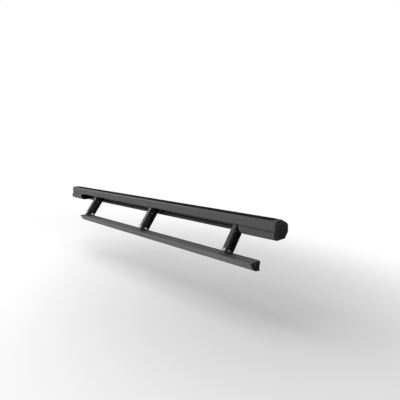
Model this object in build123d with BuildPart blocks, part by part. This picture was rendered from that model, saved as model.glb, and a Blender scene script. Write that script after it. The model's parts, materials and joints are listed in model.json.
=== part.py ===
"""Power running board: a fixed hollow board with a step bar that swings out below it on three arms.

Frame, in millimetres: +X to the rear of the vehicle, +Y inboard, +Z up. The origin is the centre of
the inboard mounting face. The model rests with the step bar swung out.
"""

import math
import os

from build123d import *

os.makedirs("parts", exist_ok=True)

# Fixed board
metal_length = 2101.0
cap_thickness = 11.0
cap_edge_radius = 3.0
cap_spigot_depth = 6.0
cap_spigot_height = 50.0
cap_spigot_play = 2.0
cap_screw_radius = 2.1
cap_screw_head_radius = 4.1
cap_screw_head_height = 2.2
cap_screw_sink = 2.5
cap_screw_length = 25.0
board_width = 116.0
board_height = 101.0
board_wall = 4.0
top_corner_radius = 13.0
crest_radius = 10.0
shoulder_radius = 8.0
mount_face_radius = 5.0
keel_inner_radius = 6.0
keel_outer_radius = 12.0
facet_foot_radius = 8.0
facet_top_radius = 2.0
top_flat_width = 54.0
shoulder_inset = 10.0
shoulder_drop = 24.0
mount_face_top = 36.0
mount_face_bottom = 72.0
keel_inner_inset = 26.0
keel_outer = 20.0
brow_height = 50.0
groove_depth = 2.4
groove_height = 5.0
lower_facet_stand_out = 8.0
lower_facet_top = 60.0
lower_facet_bottom = 89.0
lower_facet_lean = 2.0
screw_port_radius = 4.5
corner_port_inset = 8.45
shoulder_port_inset = 3.0
shoulder_port_drop = 6.3
lower_port_inset = 17.5
lower_port_drop = 82.5

# Stowage bay
bay_front_inset = 162.5
bay_rear_inset = 215.5
bay_rear_slope = 28.0
bay_lip_rise = 0.4
bay_sill_inset = 49.0
bay_corner_radius = 8.0
bay_back_inset = 21.0
bay_back_rise = 8.0
bay_shelf_height = 88.0
sill_lip_drop = 4.0
sill_lip_width = 7.0
sill_lip_radius = 2.5

# Board tread
tread_margin = 5.0
tread_inner_margin = 3.0
tread_recess = 1.2
tread_thickness = 2.0
tread_rib_height = 1.0
tread_rib_width = 2.4
tread_rib_count = 9
tread_end_gap = 12.0

# Mounting holes in the inboard face
mount_end_inset = 310.5
mount_hole_spacing = 80.0
mount_hole_radius = 4.5
gland_end_inset = 50.5
gland_hole_radius = 9.0
gland_flange = 1.5
gland_rim = 3.0
gland_bore_radius = 4.0

# Swing linkage
swing_tilt = 37.0
front_arm_inset = 238.0
rear_arm_inset = 20.0
middle_arm_shift = 2.5
pivot_outboard = 10.0
yoke_headroom = 0.3366
yoke_footroom = 1.0
arm_length = 175.0
arm_width_margin = 49.0
arm_wall = 4.0
arm_half_depth = 13.5
arm_edge_radius = 3.0
web_foot_gap = 0.5
stop_screw_along = 53.0
stop_screw_across = 7.0
stop_screw_radius = 2.6
stop_screw_head_radius = 4.0
stop_screw_head_height = 3.0

# Pivot pins and bushes
pin_radius = 5.0
running_clearance = 0.05
seat_clearance = 0.02
bush_wall = 1.5
bush_flange_radius = 9.0
lug_bush_flange_radius = 8.5
bush_flange = 1.0
bush_length = 12.0
side_play = 0.2
hinge_head_radius = 8.0
hinge_head_depth = 3.0
hinge_nut_radius = 7.5
hinge_nut_height = 3.0
hinge_tail = 0.5
stub_head_height = 2.0
stub_head_radius = 7.0

# Pivot brackets and gearbox
ear_thickness = 5.0
ear_radius = 10.0
bridge_gap = 2.0
bridge_thickness = 5.5
base_plate = 5.0
base_length = 60.0
base_outer = 14.0
base_inner = 51.0
base_bolt_along = 22.0
base_bolt_outer = 20.0
base_bolt_inner = 43.0
small_bolt_radius = 3.0
small_head_radius = 5.0
small_head_height = 4.0
stem_thickness = 16.0
gearbox_start = 34.0
gearbox_length = 41.0
gearbox_narrowing = 2.5
gearbox_below = 20.0
case_corner_radius = 4.0
case_top_drop = 2.0
neck_margin = 5.0
output_ear = 7.0
output_radius = 14.0
output_shaft_radius = 6.0
shaft_end_wall = 1.5
cover_thickness = 2.0
cover_margin = 2.0
cover_screw_radius = 1.5
cover_screw_head_radius = 2.6
cover_screw_head_height = 1.4
cover_screw_depth = 4.5
cover_screw_front = 8.8
cover_screw_rear = 24.0
cover_screw_across = 6.0
motor_radius = 19.0
motor_length = 88.0
motor_edge_radius = 3.0
motor_boss_radius = 8.0
motor_boss_height = 4.0
motor_screw_radius = 2.0
motor_screw_inset = 4.5
motor_screw_depth = 7.5
motor_screw_head_radius = 3.4
motor_screw_head_height = 2.5

# Step bar
bar_front_overhang = 54.0
bar_rear_inset = 39.5
bar_plug = 9.0
bar_top_drop = 5.2
bar_outboard = 57.6
bar_inboard = 14.4
bar_height = 49.0
bar_plate = 6.0
bar_wall = 3.5
bar_keel_outer = 32.6
bar_keel_rise = 11.0
bar_keel_inner = 20.6
bar_keel_slope = 5.0
bar_foot = 12.4
bar_foot_thickness = 4.0
bar_web_face = 4.0
bar_tip_radius = 2.5
notch_lead = 4.5
grip_groove_count = 6
grip_groove_width = 2.0
grip_groove_depth = 0.8
grip_groove_pitch = 8.0
edge_strip = 6.0
edge_strip_proud = 0.8
plug_wall = 3.0
plug_corner_radius = 1.5
plug_rib_width = 4.0
plug_pocket_depth = 4.0
plug_rib_places = (-36.0, -22.0, -7.0)
plug_screw_points = [(-28.0, -17.0), (-12.0, -42.0)]
plug_screw_radius = 2.0
plug_screw_head_radius = 3.6
plug_screw_head_height = 2.0
plug_screw_length = 21.0

# Lugs on the step bar
barrel_radius = 9.0
barrel_gap = 0.5
lug_gap = 2.5
lug_foot_outer = 36.0
lug_foot_half_length = 27.0
lug_foot_thickness = 4.0
lug_tail_width = 12.0
lug_tail_depth = 33.0
lug_bolt_along = 20.0
lug_bolt_outer = 26.0

# Derived sizes
board_top = (mount_face_top + mount_face_bottom) / 2
half_length = metal_length / 2
keel_inner = board_width - keel_inner_inset
bay_front = bay_front_inset - half_length
bay_rear = half_length - bay_rear_inset
bay_sill = board_width - bay_sill_inset
bay_back = board_width - bay_back_inset
mount_stations = (mount_end_inset - half_length, 0.0, half_length - mount_end_inset)
gland_station = half_length - gland_end_inset
front_arm_x = bay_front + front_arm_inset
rear_arm_x = bay_rear - rear_arm_inset
middle_arm_x = (front_arm_x + rear_arm_x) / 2 + middle_arm_shift
arm_stations = {"front": front_arm_x, "middle": middle_arm_x, "rear": rear_arm_x}
bar_front = front_arm_x - bar_front_overhang
bar_rear = half_length - bar_rear_inset
pivot_inset = board_width / 2 - pivot_outboard
tilt_sin = math.sin(math.radians(swing_tilt))
tilt_cos = math.cos(math.radians(swing_tilt))
bridge_bottom = arm_half_depth + bridge_gap
bridge_top = bridge_bottom + bridge_thickness
# The arm is as wide as the bay's width and its height both allow
yoke_start = board_wall + base_plate + yoke_headroom
yoke_depth = bay_shelf_height - yoke_start - yoke_footroom
ear_reach = (yoke_depth - (bridge_top + ear_radius) * tilt_cos) / (2 * tilt_sin)
arm_limit = 2 * (ear_reach - ear_thickness - bush_flange - side_play)
arm_width = min(board_width - arm_width_margin, arm_limit)
arm_half_width = arm_width / 2
channel_half_width = arm_half_width - arm_wall
barrel_half_length = channel_half_width - bush_flange - barrel_gap
gearbox_half_width = arm_half_width - gearbox_narrowing
ear_face = arm_half_width + side_play + bush_flange
ear_back = ear_face + ear_thickness
bush_radius = pin_radius + running_clearance + bush_wall
pivot_drop = yoke_start + ear_back * tilt_sin + bridge_top * tilt_cos
upper_pivot = (pivot_inset - board_width, board_top - pivot_drop)
lower_pivot = (upper_pivot[0] - arm_length * tilt_sin, upper_pivot[1] - arm_length * tilt_cos)
small_hole_radius = small_bolt_radius + 0.1
groove_top = brow_height + groove_depth
tread_recess_width = top_flat_width - tread_margin - tread_inner_margin


def board_section(x):
    """Cross-section of the board at x: inboard from the outer face, and up from the top face."""
    return Plane(origin=(x, -board_width, board_top), x_dir=(0, 1, 0), z_dir=(1, 0, 0))


def bar_section(x):
    """Cross-section of the step bar at x, measured from the lower pivot."""
    return Plane(origin=(x, lower_pivot[0], lower_pivot[1]), x_dir=(0, 1, 0), z_dir=(1, 0, 0))


def pivot_section(x, pivot=upper_pivot):
    """Cross-section at a pivot: along the swing axis inboard, and back up the arm."""
    axis = (0, tilt_cos, -tilt_sin)
    return Plane(origin=(x, pivot[0], pivot[1]), x_dir=axis, z_dir=(1, 0, 0))


def web_end(across):
    """How far above the lower pivot an arm's web ends, so that its end is level over the bar."""
    return (web_foot_gap + across * tilt_sin) / tilt_cos


def swing_plane(x, pivot, along=0.0):
    """Plane square to the swing axis: rearward, and down the arm as it hangs swung out."""
    axis = (0, tilt_cos, -tilt_sin)
    start = Plane(origin=(x, pivot[0], pivot[1]), x_dir=(1, 0, 0), z_dir=axis)
    return start.offset(along)


def across_and_down(across, down):
    """A point given along the swing axis and down the arm, as inboard and up from its pivot."""
    return (across * tilt_cos - down * tilt_sin, -across * tilt_sin - down * tilt_cos)


def from_upper_pivot(across, down):
    """The same point in the board's cross-section, measured from the outer top corner."""
    inboard, up = across_and_down(across, down)
    return (pivot_inset + inboard, up - pivot_drop)


def base_bolt_pattern(x, radius):
    """Circles of the four bolts that hold a base plate under the top wall."""
    for along in (-base_bolt_along, base_bolt_along):
        for inboard in (base_bolt_outer, base_bolt_inner):
            with Locations((x + along, inboard - board_width)):
                Circle(radius)


def save(builder, name):
    """Label a finished piece and write its file."""
    builder.part.label = name
    export_step(builder.part, f"parts/{name}.step")


# Outline of the board's section, shared by the extrusion and both end caps
shoulder_inboard = board_width - shoulder_inset
board_outline = [
    (0, 0),
    (top_flat_width, 0),
    (shoulder_inboard, -shoulder_drop),
    (board_width, -mount_face_top),
    (board_width, -mount_face_bottom),
    (keel_inner, -board_height),
    (keel_outer, -board_height),
    (lower_facet_lean - lower_facet_stand_out, -lower_facet_bottom),
    (-lower_facet_stand_out, -lower_facet_top),
    (groove_depth, -groove_top - groove_height / 2),
    (groove_depth, -groove_top),
    (0, -brow_height),
]
outline_radii = [
    top_corner_radius,
    crest_radius,
    shoulder_radius,
    mount_face_radius,
    mount_face_radius,
    keel_inner_radius,
    keel_outer_radius,
    facet_foot_radius,
    facet_top_radius,
]

with BuildSketch(Plane.XY) as board_profile:
    with BuildLine():
        Polyline(*board_outline, close=True)
    make_face()
    for corner, radius in zip(board_outline, outline_radii):
        nearest = board_profile.vertices().sort_by_distance((corner[0], corner[1], 0))[0]
        fillet(nearest, radius=radius)

with BuildSketch(Plane.XY) as board_hollow:
    add(board_profile.sketch)
    offset(amount=-board_wall, kind=Kind.INTERSECTION, mode=Mode.REPLACE)

# Centres of the three screw ports that take the end cap screws
port_centres = [
    (corner_port_inset, -corner_port_inset),
    (shoulder_inboard - shoulder_port_inset, -shoulder_drop - shoulder_port_drop),
    (board_width - lower_port_inset, -lower_port_drop),
]

# Board extrusion: walls, bay back wall, shelf, sill lip and screw ports run its whole length
with BuildPart() as board_extrusion:
    with BuildSketch(board_section(-half_length)):
        add(board_profile.sketch)
        add(board_hollow.sketch, mode=Mode.SUBTRACT)
        back_top = shoulder_drop - bay_back_rise
        with Locations((bay_back, -back_top)):
            Rectangle(board_wall, bay_shelf_height + board_wall - back_top, align=(Align.MIN, Align.MAX))
        with Locations((bay_sill, -bay_shelf_height)):
            Rectangle(bay_back - bay_sill + board_wall, board_wall, align=(Align.MIN, Align.MAX))
            Rectangle(board_wall, board_height - bay_shelf_height, align=(Align.MIN, Align.MAX))
        with Locations((bay_sill, -board_height - sill_lip_drop)):
            RectangleRounded(
                sill_lip_width,
                sill_lip_drop + board_wall,
                sill_lip_radius,
                align=(Align.MIN, Align.MIN),
            )
        with Locations(*port_centres):
            Circle(screw_port_radius)
        with Locations(*port_centres):
            Circle(cap_screw_radius, mode=Mode.SUBTRACT)
    extrude(amount=metal_length)
    # Shallow recess for the tread
    with BuildSketch(board_section(-half_length)):
        with Locations((tread_margin, 0)):
            Rectangle(tread_recess_width, 2 * tread_recess, align=(Align.MIN, Align.CENTER))
    extrude(amount=metal_length, mode=Mode.SUBTRACT)
    # Mouth of the stowage bay: the lower facet and the bottom are cut away as far as the sill
    with BuildSketch(Plane.XZ.offset(board_width + 2 * lower_facet_stand_out)) as mouth:
        mouth_top = upper_pivot[1] + bay_lip_rise
        mouth_rear_foot = bay_rear + (mouth_top + board_height) * math.tan(math.radians(bay_rear_slope))
        with BuildLine():
            Polyline(
                (bay_front, mouth_top),
                (bay_rear, mouth_top),
                (mouth_rear_foot, -board_height),
                (bay_front, -board_height),
                close=True,
            )
        make_face()
        fillet(mouth.vertices().group_by(Axis.Y)[-1], radius=bay_corner_radius)
    extrude(amount=-(2 * lower_facet_stand_out + bay_sill), mode=Mode.SUBTRACT)
    # Bolt holes for the vehicle brackets, and the hole for the lead's gland
    with BuildSketch(Plane.XZ):
        for station in mount_stations:
            with Locations((station, 0)):
                with GridLocations(mount_hole_spacing, 0, 2, 1):
                    Circle(mount_hole_radius)
        with Locations((gland_station, 0)):
            Circle(gland_hole_radius)
    extrude(amount=board_wall + 1, both=True, mode=Mode.SUBTRACT)
    # Counterbore that takes the gland's flange flush with the mounting face
    with BuildSketch(Plane.XZ.offset(-gland_flange - seat_clearance)):
        with Locations((gland_station, 0)):
            Circle(gland_hole_radius + gland_rim + seat_clearance)
    extrude(amount=2 * gland_flange, mode=Mode.SUBTRACT)
    # Bolt holes of the pivot brackets and the gearbox, up through the top wall
    with BuildSketch(Plane.XY.offset(board_top)):
        for station in arm_stations.values():
            base_bolt_pattern(station, small_hole_radius)
    extrude(amount=-(board_wall + 1), mode=Mode.SUBTRACT)
save(board_extrusion, "board_extrusion")

# Ribbed tread in the recess of the flat top
tread_width = tread_recess_width - 2 * side_play
with BuildPart() as board_tread:
    with BuildSketch(board_section(-half_length + tread_end_gap)):
        with Locations((tread_margin + side_play, -tread_recess)):
            Rectangle(tread_width, tread_thickness, align=(Align.MIN, Align.MIN))
        rib_pitch = (tread_width - tread_rib_width) / (tread_rib_count - 1)
        for rib in range(tread_rib_count):
            with Locations((tread_margin + side_play + rib * rib_pitch, tread_thickness - tread_recess)):
                Rectangle(tread_rib_width, tread_rib_height, align=(Align.MIN, Align.MIN))
    extrude(amount=metal_length - 2 * tread_end_gap)
save(board_tread, "board_tread")

# End caps: a plate with the board's outline and a spigot that enters the bay
for end, sign in (("front", -1), ("rear", 1)):
    with BuildPart() as end_cap:
        face_x = sign * half_length
        with BuildSketch(board_section(face_x)):
            add(board_profile.sketch)
        extrude(amount=sign * cap_thickness)
        outer_edges = end_cap.faces().sort_by(Axis.X)[-1 if sign > 0 else 0].edges()
        fillet(outer_edges, radius=cap_edge_radius)
        with BuildSketch(board_section(face_x)):
            spigot_outer = 2 * port_centres[0][0]
            with Locations((spigot_outer, -shoulder_drop - board_wall)):
                RectangleRounded(
                    bay_back - spigot_outer - cap_spigot_play,
                    cap_spigot_height,
                    cap_edge_radius,
                    align=(Align.MIN, Align.MAX),
                )
        extrude(amount=-sign * cap_spigot_depth)
        with BuildSketch(board_section(face_x)):
            with Locations(*port_centres):
                Circle(cap_screw_radius)
        extrude(amount=sign * cap_thickness, mode=Mode.SUBTRACT)
        head_x = face_x + sign * (cap_thickness - cap_screw_sink)
        with BuildSketch(board_section(head_x)):
            with Locations(*port_centres):
                Circle(cap_screw_head_radius + 0.1)
        extrude(amount=sign * (cap_screw_sink + 1), mode=Mode.SUBTRACT)
    save(end_cap, f"{end}_end_cap")

    with BuildPart() as cap_screws:
        with BuildSketch(board_section(head_x)):
            with Locations(*port_centres):
                Circle(cap_screw_head_radius)
        extrude(amount=sign * cap_screw_head_height)
        with BuildSketch(board_section(head_x)):
            with Locations(*port_centres):
                Circle(cap_screw_radius - seat_clearance)
        extrude(amount=-sign * cap_screw_length)
    save(cap_screws, f"{end}_cap_screws")

# Rubber gland for the supply lead, in the inboard face
with BuildPart() as lead_gland:
    with BuildSketch(Plane.XZ.offset(-gland_flange)):
        with Locations((gland_station, 0)):
            Circle(gland_hole_radius + gland_rim)
            Circle(gland_bore_radius, mode=Mode.SUBTRACT)
    extrude(amount=gland_flange)
    with BuildSketch(Plane.XZ):
        with Locations((gland_station, 0)):
            Circle(gland_hole_radius - seat_clearance)
            Circle(gland_bore_radius, mode=Mode.SUBTRACT)
    extrude(amount=board_wall + gland_rim)
save(lead_gland, "lead_gland")


def yoke(x, bored_ears):
    """Cast yoke of one arm: base plate under the top wall, stem, bridge and two ears, bored for bushes."""
    with BuildPart() as body:
        with BuildSketch(board_section(x - base_length / 2)):
            with Locations((base_outer, -board_wall)):
                Rectangle(base_inner - base_outer, base_plate, align=(Align.MIN, Align.MAX))
        extrude(amount=base_length)
        with BuildSketch(board_section(x - stem_thickness / 2)):
            with BuildLine():
                Polyline(
                    from_upper_pivot(-ear_back, 1 - bridge_top),
                    (base_outer + bridge_top / 2, 1 - board_wall - base_plate),
                    (base_inner, 1 - board_wall - base_plate),
                    from_upper_pivot(ear_back, 1 - bridge_top),
                    close=True,
                )
            make_face()
        extrude(amount=stem_thickness)
        with BuildSketch(pivot_section(x - ear_radius)):
            Rectangle(2 * ear_back, bridge_top, align=(Align.CENTER, Align.MIN))
            Rectangle(2 * ear_face, bridge_bottom, align=(Align.CENTER, Align.MIN), mode=Mode.SUBTRACT)
        extrude(amount=2 * ear_radius)
        for side in (-ear_back, ear_face):
            with BuildSketch(swing_plane(x, upper_pivot, side)):
                Circle(ear_radius)
            extrude(amount=ear_thickness)
        for side in bored_ears:
            with BuildSketch(swing_plane(x, upper_pivot, side * (ear_face - 1))):
                Circle(bush_radius)
            extrude(amount=side * (ear_thickness + 2), mode=Mode.SUBTRACT)
        with BuildSketch(Plane.XY.offset(board_top)):
            base_bolt_pattern(x, small_hole_radius)
        extrude(amount=-(board_wall + base_plate + 1), mode=Mode.SUBTRACT)
    return body.part


# Cast yokes of the front and middle arms
for station in ("front", "middle"):
    cast_yoke = yoke(arm_stations[station], (-1, 1))
    with BuildPart() as pivot_bracket:
        add(cast_yoke)
    save(pivot_bracket, f"{station}_pivot_bracket")

# Gearbox of the rear arm: the same yoke, with its outer ear grown into a closed drive case
gearbox_x = arm_stations["rear"]
motor_start = gearbox_x + gearbox_start + gearbox_length
motor_screw_points = [(-motor_radius + motor_screw_inset, 0), (motor_radius - motor_screw_inset, 0)]
cover_screw_points = [
    (-cover_screw_front, 0),
    (cover_screw_rear, -cover_screw_across),
    (cover_screw_rear, cover_screw_across),
]
drive_yoke = yoke(gearbox_x, (1,))
with BuildPart() as gearbox_housing:
    add(drive_yoke)
    drive_face = -ear_face - output_ear
    with BuildSketch(swing_plane(gearbox_x, upper_pivot, drive_face)):
        Circle(output_radius)
        with Locations((gearbox_start / 2, 0)):
            Rectangle(gearbox_start + 2, 2 * ear_radius)
    extrude(amount=output_ear)
    with BuildSketch(pivot_section(gearbox_x + gearbox_start)) as case_section:
        with BuildLine():
            Polyline(
                (drive_face, bridge_top - case_top_drop),
                (gearbox_half_width, bridge_top - case_top_drop),
                (gearbox_half_width, -gearbox_below),
                (-gearbox_half_width, -gearbox_below),
                (drive_face, -ear_radius),
                close=True,
            )
        make_face()
        fillet(case_section.vertices(), radius=case_corner_radius)
    extrude(amount=gearbox_length)
    with BuildSketch(pivot_section(gearbox_x)):
        with Locations((0, bridge_bottom)):
            Rectangle(
                2 * (gearbox_half_width - neck_margin),
                bridge_thickness - case_top_drop,
                align=(Align.CENTER, Align.MIN),
            )
    extrude(amount=gearbox_start + 2)
    with BuildSketch(swing_plane(gearbox_x, upper_pivot, drive_face + shaft_end_wall)):
        Circle(output_shaft_radius + running_clearance)
    extrude(amount=output_ear, mode=Mode.SUBTRACT)
    with BuildSketch(pivot_section(motor_start)):
        with Locations(*motor_screw_points):
            Circle(motor_screw_radius)
    extrude(amount=-(motor_screw_depth + 0.5), mode=Mode.SUBTRACT)
    with BuildSketch(swing_plane(gearbox_x, upper_pivot, drive_face)):
        with Locations(*cover_screw_points):
            Circle(cover_screw_radius)
    extrude(amount=cover_screw_depth + 0.5, mode=Mode.SUBTRACT)
save(gearbox_housing, "gearbox_housing")

with BuildPart() as gearbox_cover:
    with BuildSketch(swing_plane(gearbox_x, upper_pivot, drive_face - cover_thickness)):
        Circle(output_radius - cover_margin)
        with Locations((gearbox_start / 2, 0)):
            Rectangle(gearbox_start - 2 * cover_margin, 2 * ear_radius - cover_margin)
        with Locations(*cover_screw_points):
            Circle(cover_screw_radius, mode=Mode.SUBTRACT)
    extrude(amount=cover_thickness)
save(gearbox_cover, "gearbox_cover")

with BuildPart() as gearbox_cover_screws:
    with BuildSketch(swing_plane(gearbox_x, upper_pivot, drive_face - cover_thickness)):
        with Locations(*cover_screw_points):
            Circle(cover_screw_head_radius)
    extrude(amount=-cover_screw_head_height)
    with BuildSketch(swing_plane(gearbox_x, upper_pivot, drive_face - cover_thickness)):
        with Locations(*cover_screw_points):
            Circle(cover_screw_radius - seat_clearance)
    extrude(amount=cover_thickness + cover_screw_depth)
save(gearbox_cover_screws, "gearbox_cover_screws")

# Sealed motor behind the gearbox, held by two long screws
with BuildPart() as drive_motor:
    with BuildSketch(pivot_section(motor_start)):
        Circle(motor_radius)
    extrude(amount=motor_length)
    fillet(drive_motor.edges().sort_by(Axis.X)[-1], radius=motor_edge_radius)
    with BuildSketch(pivot_section(motor_start + motor_length)):
        Circle(motor_boss_radius)
    extrude(amount=motor_boss_height)
    with BuildSketch(pivot_section(motor_start)):
        with Locations(*motor_screw_points):
            Circle(motor_screw_radius)
    extrude(amount=motor_length + 1, mode=Mode.SUBTRACT)
save(drive_motor, "drive_motor")

with BuildPart() as motor_screws:
    with BuildSketch(pivot_section(motor_start - motor_screw_depth)):
        with Locations(*motor_screw_points):
            Circle(motor_screw_radius - seat_clearance)
    extrude(amount=motor_length + motor_screw_depth)
    with BuildSketch(pivot_section(motor_start + motor_length)):
        with Locations(*motor_screw_points):
            Circle(motor_screw_head_radius)
    extrude(amount=motor_screw_head_height)
save(motor_screws, "motor_screws")

# Arms, with their pins, nuts, stop screws and upper bushes
stop_screw_point = (stop_screw_across, -stop_screw_along)
for station, pivot_x in arm_stations.items():
    driven = station == "rear"

    with BuildPart() as bracket_bolts:
        under_base = board_top - board_wall - base_plate
        with BuildSketch(Plane.XY.offset(under_base)):
            base_bolt_pattern(pivot_x, small_head_radius)
        extrude(amount=-small_head_height)
        with BuildSketch(Plane.XY.offset(under_base)):
            base_bolt_pattern(pivot_x, small_bolt_radius)
        extrude(amount=base_plate + board_wall - tread_recess - side_play)
    save(bracket_bolts, "gearbox_bolts" if driven else f"{station}_bracket_bolts")

    with BuildPart() as upper_bushes:
        for side in (1,) if driven else (-1, 1):
            with BuildSketch(swing_plane(pivot_x, upper_pivot, side * ear_face)):
                Circle(bush_radius - seat_clearance)
                Circle(pin_radius + running_clearance, mode=Mode.SUBTRACT)
            extrude(amount=side * ear_thickness)
            with BuildSketch(swing_plane(pivot_x, upper_pivot, side * ear_face)):
                Circle(bush_flange_radius)
                Circle(pin_radius + running_clearance, mode=Mode.SUBTRACT)
            extrude(amount=-side * bush_flange)
    save(upper_bushes, f"{station}_upper_bush" if driven else f"{station}_upper_bushes")

    # Pressed channel: a rounded slab, hollowed from behind, its web cut level above the step bar
    web_face_x = pivot_x + arm_wall - arm_half_depth
    with BuildPart() as arm:
        with BuildSketch(swing_plane(pivot_x, upper_pivot, -arm_half_width)):
            with Locations((0, arm_length / 2)):
                SlotCenterToCenter(arm_length, 2 * arm_half_depth, rotation=90)
        extrude(amount=arm_width)
        long_edges = arm.edges().filter_by(GeomType.LINE).group_by(Axis.X)[0]
        fillet(long_edges.filter_by(lambda edge: edge.length > arm_length - 1), radius=arm_edge_radius)
        with BuildSketch(swing_plane(pivot_x, upper_pivot, -channel_half_width)):
            with Locations((arm_wall - arm_half_depth, arm_length / 2)):
                Rectangle(
                    2 * arm_half_depth,
                    arm_length + 4 * arm_half_depth,
                    align=(Align.MIN, Align.CENTER),
                )
        extrude(amount=2 * channel_half_width, mode=Mode.SUBTRACT)
        with BuildSketch(pivot_section(pivot_x - arm_half_depth - 1, lower_pivot)):
            with BuildLine():
                Polyline(
                    (-channel_half_width, web_end(-channel_half_width)),
                    (channel_half_width, web_end(channel_half_width)),
                    (channel_half_width, -arm_width),
                    (-channel_half_width, -arm_width),
                    close=True,
                )
            make_face()
        extrude(amount=2 * arm_half_depth + 2, mode=Mode.SUBTRACT)
        outer_top_radius = (output_shaft_radius if driven else pin_radius) + seat_clearance
        with BuildSketch(swing_plane(pivot_x, upper_pivot, -arm_half_width - 1)):
            Circle(outer_top_radius)
        extrude(amount=arm_half_width, mode=Mode.SUBTRACT)
        with BuildSketch(swing_plane(pivot_x, upper_pivot)):
            Circle(pin_radius + seat_clearance)
        extrude(amount=arm_half_width + 1, mode=Mode.SUBTRACT)
        with BuildSketch(swing_plane(pivot_x, lower_pivot, -arm_half_width - 1)):
            Circle(pin_radius + seat_clearance)
        extrude(amount=arm_width + 2, mode=Mode.SUBTRACT)
        with Locations(swing_plane(pivot_x, lower_pivot, -arm_half_width)):
            Cone(
                hinge_head_radius + seat_clearance,
                pin_radius + seat_clearance,
                hinge_head_depth,
                align=(Align.CENTER, Align.CENTER, Align.MIN),
                mode=Mode.SUBTRACT,
            )
        with BuildSketch(pivot_section(web_face_x)), Locations(stop_screw_point):
            Circle(stop_screw_radius)
        extrude(amount=-2 * arm_wall, mode=Mode.SUBTRACT)
    save(arm, f"{station}_arm")

    with BuildPart() as stop_screw:
        with BuildSketch(pivot_section(web_face_x)), Locations(stop_screw_point):
            RegularPolygon(stop_screw_head_radius, 6)
        extrude(amount=stop_screw_head_height)
        with BuildSketch(pivot_section(web_face_x)), Locations(stop_screw_point):
            Circle(stop_screw_radius - seat_clearance)
        extrude(amount=-arm_wall)
    save(stop_screw, f"{station}_stop_screw")

    with BuildPart() as upper_pins:
        for side in (1,) if driven else (-1, 1):
            with BuildSketch(swing_plane(pivot_x, upper_pivot, side * channel_half_width)):
                Circle(pin_radius)
            extrude(amount=side * (ear_back - channel_half_width))
            with BuildSketch(swing_plane(pivot_x, upper_pivot, side * channel_half_width)):
                Circle(stub_head_radius)
            extrude(amount=-side * stub_head_height)
    save(upper_pins, f"{station}_upper_pin" if driven else f"{station}_upper_pins")

    with BuildPart() as lower_pin:
        with BuildSketch(swing_plane(pivot_x, lower_pivot, -arm_half_width)):
            Circle(pin_radius)
        extrude(amount=arm_width + hinge_nut_height + hinge_tail)
        with Locations(swing_plane(pivot_x, lower_pivot, -arm_half_width)):
            Cone(
                hinge_head_radius,
                pin_radius,
                hinge_head_depth,
                align=(Align.CENTER, Align.CENTER, Align.MIN),
            )
    save(lower_pin, f"{station}_lower_pin")

    with BuildPart() as lower_nut:
        with BuildSketch(swing_plane(pivot_x, lower_pivot, arm_half_width)):
            RegularPolygon(hinge_nut_radius, 6)
            Circle(pin_radius + seat_clearance, mode=Mode.SUBTRACT)
        extrude(amount=hinge_nut_height)
    save(lower_nut, f"{station}_lower_nut")

# Output shaft of the gearbox: fixed in the driven arm, with a collar against the drive case
with BuildPart() as output_shaft:
    with BuildSketch(swing_plane(gearbox_x, upper_pivot, -channel_half_width)):
        Circle(output_shaft_radius)
    extrude(amount=-(ear_face + output_ear - shaft_end_wall - seat_clearance - channel_half_width))
    with BuildSketch(swing_plane(gearbox_x, upper_pivot, -arm_half_width)):
        Circle(bush_flange_radius)
    extrude(amount=-bush_flange)
    with BuildSketch(swing_plane(gearbox_x, upper_pivot, -channel_half_width)):
        Circle(stub_head_radius)
    extrude(amount=stub_head_height)
save(output_shaft, "output_shaft")

# Step bar: a closed V-shaped chamber outboard, and a channel open inboard that takes the lugs
bar_bottom = -bar_top_drop - bar_height
foot_underside = bar_bottom + bar_keel_slope
keel_share = (bar_keel_inner - bar_web_face) / (bar_keel_inner + bar_foot)
web_underside = foot_underside - bar_keel_slope * keel_share
keel_inner_point = (-bar_keel_inner, foot_underside)
keel_outer_point = (-bar_keel_outer, bar_bottom + bar_keel_rise)
bar_outline = [
    (-bar_outboard, -bar_top_drop),
    (bar_inboard, -bar_top_drop),
    (bar_inboard, -bar_top_drop - bar_plate),
    (-bar_web_face, -bar_top_drop - bar_plate),
    (-bar_web_face, web_underside + bar_foot_thickness),
    (bar_foot, bar_bottom + bar_foot_thickness + 1.5),
    (bar_foot, bar_bottom),
    keel_inner_point,
    keel_outer_point,
]
with BuildSketch(Plane.XY) as bar_chamber:
    with BuildLine():
        Polyline(
            (-bar_outboard, -bar_top_drop),
            (-bar_web_face, -bar_top_drop),
            (-bar_web_face, web_underside),
            keel_inner_point,
            keel_outer_point,
            close=True,
        )
    make_face()
    offset(amount=-bar_wall, kind=Kind.INTERSECTION, mode=Mode.REPLACE)

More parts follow.
